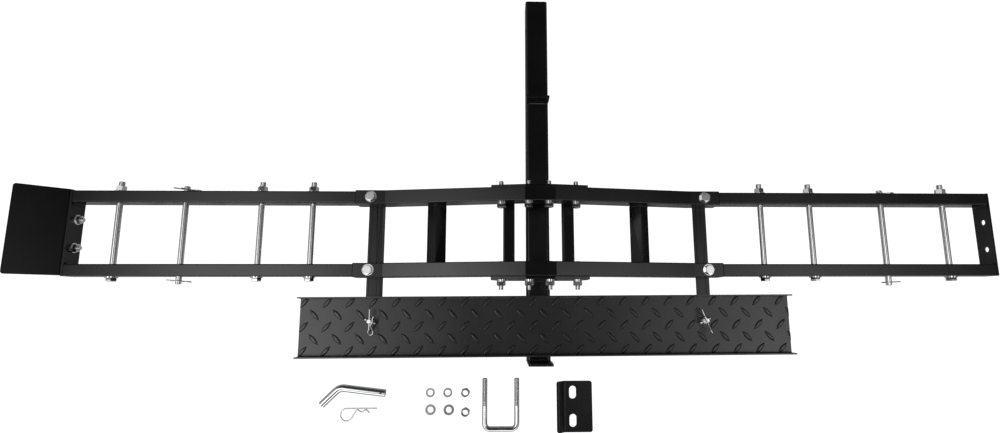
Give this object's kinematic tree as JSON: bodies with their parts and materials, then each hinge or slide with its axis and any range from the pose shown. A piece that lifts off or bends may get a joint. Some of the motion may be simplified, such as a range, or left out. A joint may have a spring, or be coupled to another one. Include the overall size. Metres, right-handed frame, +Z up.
{
  "type": "hitch cargo carrier",
  "caption": "Hitch-mounted motorcycle carrier: square shank, raised wheel track on bent rails with threaded rungs, wheel stop, stowed lens-tread ramp and loose fitting kit",
  "frame": {"origin": "centre of the hitch pin bore, on the axis of the square shank", "axes": "+Y out of the front end of the shank towards the vehicle, +Z up, +X to the right seen from behind the vehicle"},
  "size_m": [2.0462, 0.982, 0.1482],
  "materials": {
    "frame_coat": "semi-gloss black powder coat, fine orange peel",
    "shank_coat": "semi-gloss black powder coat",
    "plate_coat": "satin black powder coat",
    "ramp_coat": "satin black powder coat on lens-tread plate",
    "zinc": "bright zinc plate",
    "spring_zinc": "bright zinc plate on spring steel"
  },
  "bodies": {
    "frame": {"hitch_tube": "shank_coat", "receiver_stop": "shank_coat", "tail_plate": "shank_coat", "front_gusset": "frame_coat", "rear_gusset": "frame_coat", "left_short_bar": "frame_coat", "right_short_bar": "frame_coat", "front_centre_rail": "frame_coat", "rear_centre_rail": "frame_coat", "left_mid_cross": "frame_coat", "right_mid_cross": "frame_coat", "left_ramp_arm": "frame_coat", "right_ramp_arm": "frame_coat", "left_front_wing_rail": "frame_coat", "left_rear_wing_rail": "frame_coat", "right_front_wing_rail": "frame_coat", "right_rear_wing_rail": "frame_coat", "left_end_plate": "frame_coat", "right_end_plate": "frame_coat", "wheel_stop_plate": "plate_coat", "wheel_stop_bolts": "zinc", "wheel_stop_nuts": "zinc", "wheel_stop_washers": "zinc", "gusset_bolts": "zinc", "gusset_nuts": "zinc", "gusset_washers": "zinc", "gusset_spring_washers": "spring_zinc", "wing_joint_bolts": "zinc", "wing_joint_nuts": "zinc", "wing_joint_washers": "zinc", "left_rungs": "zinc", "right_rungs": "zinc", "rung_nuts": "zinc", "rung_washers": "zinc", "arm_weld_nuts": "frame_coat"},
    "left_wheel_pin": {"left_wheel_pin": "zinc"},
    "right_wheel_pin": {"right_wheel_pin": "zinc"},
    "left_front_pin_clip": {"left_front_pin_clip": "spring_zinc"},
    "left_rear_pin_clip": {"left_rear_pin_clip": "spring_zinc"},
    "right_front_pin_clip": {"right_front_pin_clip": "spring_zinc"},
    "right_rear_pin_clip": {"right_rear_pin_clip": "spring_zinc"},
    "ramp": {"ramp_deck": "ramp_coat", "ramp_studs": "zinc"},
    "left_wing_nut": {"left_wing_nut": "zinc"},
    "right_wing_nut": {"right_wing_nut": "zinc"},
    "left_ramp_clip": {"left_ramp_clip": "spring_zinc"},
    "right_ramp_clip": {"right_ramp_clip": "spring_zinc"},
    "hitch_pin": {"hitch_pin": "zinc"},
    "hitch_pin_clip": {"hitch_pin_clip": "spring_zinc"},
    "u_bolt": {"u_bolt": "zinc"},
    "anti_rattle_plate": {"anti_rattle_plate": "plate_coat"},
    "u_bolt_nuts": {"u_bolt_nuts": "zinc"},
    "u_bolt_spring_washers": {"u_bolt_spring_washers": "spring_zinc"},
    "u_bolt_flat_washers": {"u_bolt_flat_washers": "zinc"}
  },
  "joints": [
    {"name": "left_wheel_pin_slide", "type": "slide", "parent": "frame", "child": "left_wheel_pin", "axis": [0, 1, 0], "range_m": [-0.0025, 0.0055]},
    {"name": "right_wheel_pin_slide", "type": "slide", "parent": "frame", "child": "right_wheel_pin", "axis": [0, 1, 0], "range_m": [-0.0008, 0.0077]},
    {"name": "left_front_pin_clip_pull", "type": "slide", "parent": "left_wheel_pin", "child": "left_front_pin_clip", "axis": [0.9041, -0.0632, -0.4226], "range_m": [0, 0.032]},
    {"name": "left_rear_pin_clip_pull", "type": "slide", "parent": "left_wheel_pin", "child": "left_rear_pin_clip", "axis": [0.9969, -0.0785, 0], "range_m": [0, 0.032]},
    {"name": "right_front_pin_clip_pull", "type": "slide", "parent": "right_wheel_pin", "child": "right_front_pin_clip", "axis": [1, 0, 0], "range_m": [0, 0.032]},
    {"name": "right_rear_pin_clip_pull", "type": "slide", "parent": "right_wheel_pin", "child": "right_rear_pin_clip", "axis": [0.9123, 0.0478, -0.4067], "range_m": [0, 0.032]},
    {"name": "ramp_lift", "type": "slide", "parent": "frame", "child": "ramp", "axis": [0, 0, 1], "range_m": [0, 0.15]},
    {"name": "left_wing_nut_turn", "type": "hinge", "parent": "ramp", "child": "left_wing_nut", "pos_m": [-0.3565, -0.68, 0.033], "axis": [0, 0, 1], "continuous": true},
    {"name": "right_wing_nut_turn", "type": "hinge", "parent": "ramp", "child": "right_wing_nut", "pos_m": [0.3565, -0.68, 0.033], "axis": [0, 0, 1], "continuous": true},
    {"name": "left_ramp_clip_pull", "type": "slide", "parent": "ramp", "child": "left_ramp_clip", "axis": [0, -1, 0], "range_m": [0, 0.032]},
    {"name": "right_ramp_clip_pull", "type": "slide", "parent": "ramp", "child": "right_ramp_clip", "axis": [0.3584, -0.9336, 0], "range_m": [0, 0.032]},
    {"name": "hitch_pin_lift", "type": "slide", "parent": "frame", "child": "hitch_pin", "axis": [0, 0, 1], "range_m": [0, 0.1]},
    {"name": "hitch_pin_clip_lift", "type": "slide", "parent": "frame", "child": "hitch_pin_clip", "axis": [0, 0, 1], "range_m": [0, 0.1]},
    {"name": "u_bolt_lift", "type": "slide", "parent": "frame", "child": "u_bolt", "axis": [0, 0, 1], "range_m": [0, 0.1]},
    {"name": "anti_rattle_plate_lift", "type": "slide", "parent": "frame", "child": "anti_rattle_plate", "axis": [0, 0, 1], "range_m": [0, 0.1]},
    {"name": "u_bolt_nuts_lift", "type": "slide", "parent": "frame", "child": "u_bolt_nuts", "axis": [0, 0, 1], "range_m": [0, 0.1]},
    {"name": "u_bolt_spring_washers_lift", "type": "slide", "parent": "frame", "child": "u_bolt_spring_washers", "axis": [0, 0, 1], "range_m": [0, 0.1]},
    {"name": "u_bolt_flat_washers_lift", "type": "slide", "parent": "frame", "child": "u_bolt_flat_washers", "axis": [0, 0, 1], "range_m": [0, 0.1]}
  ]
}
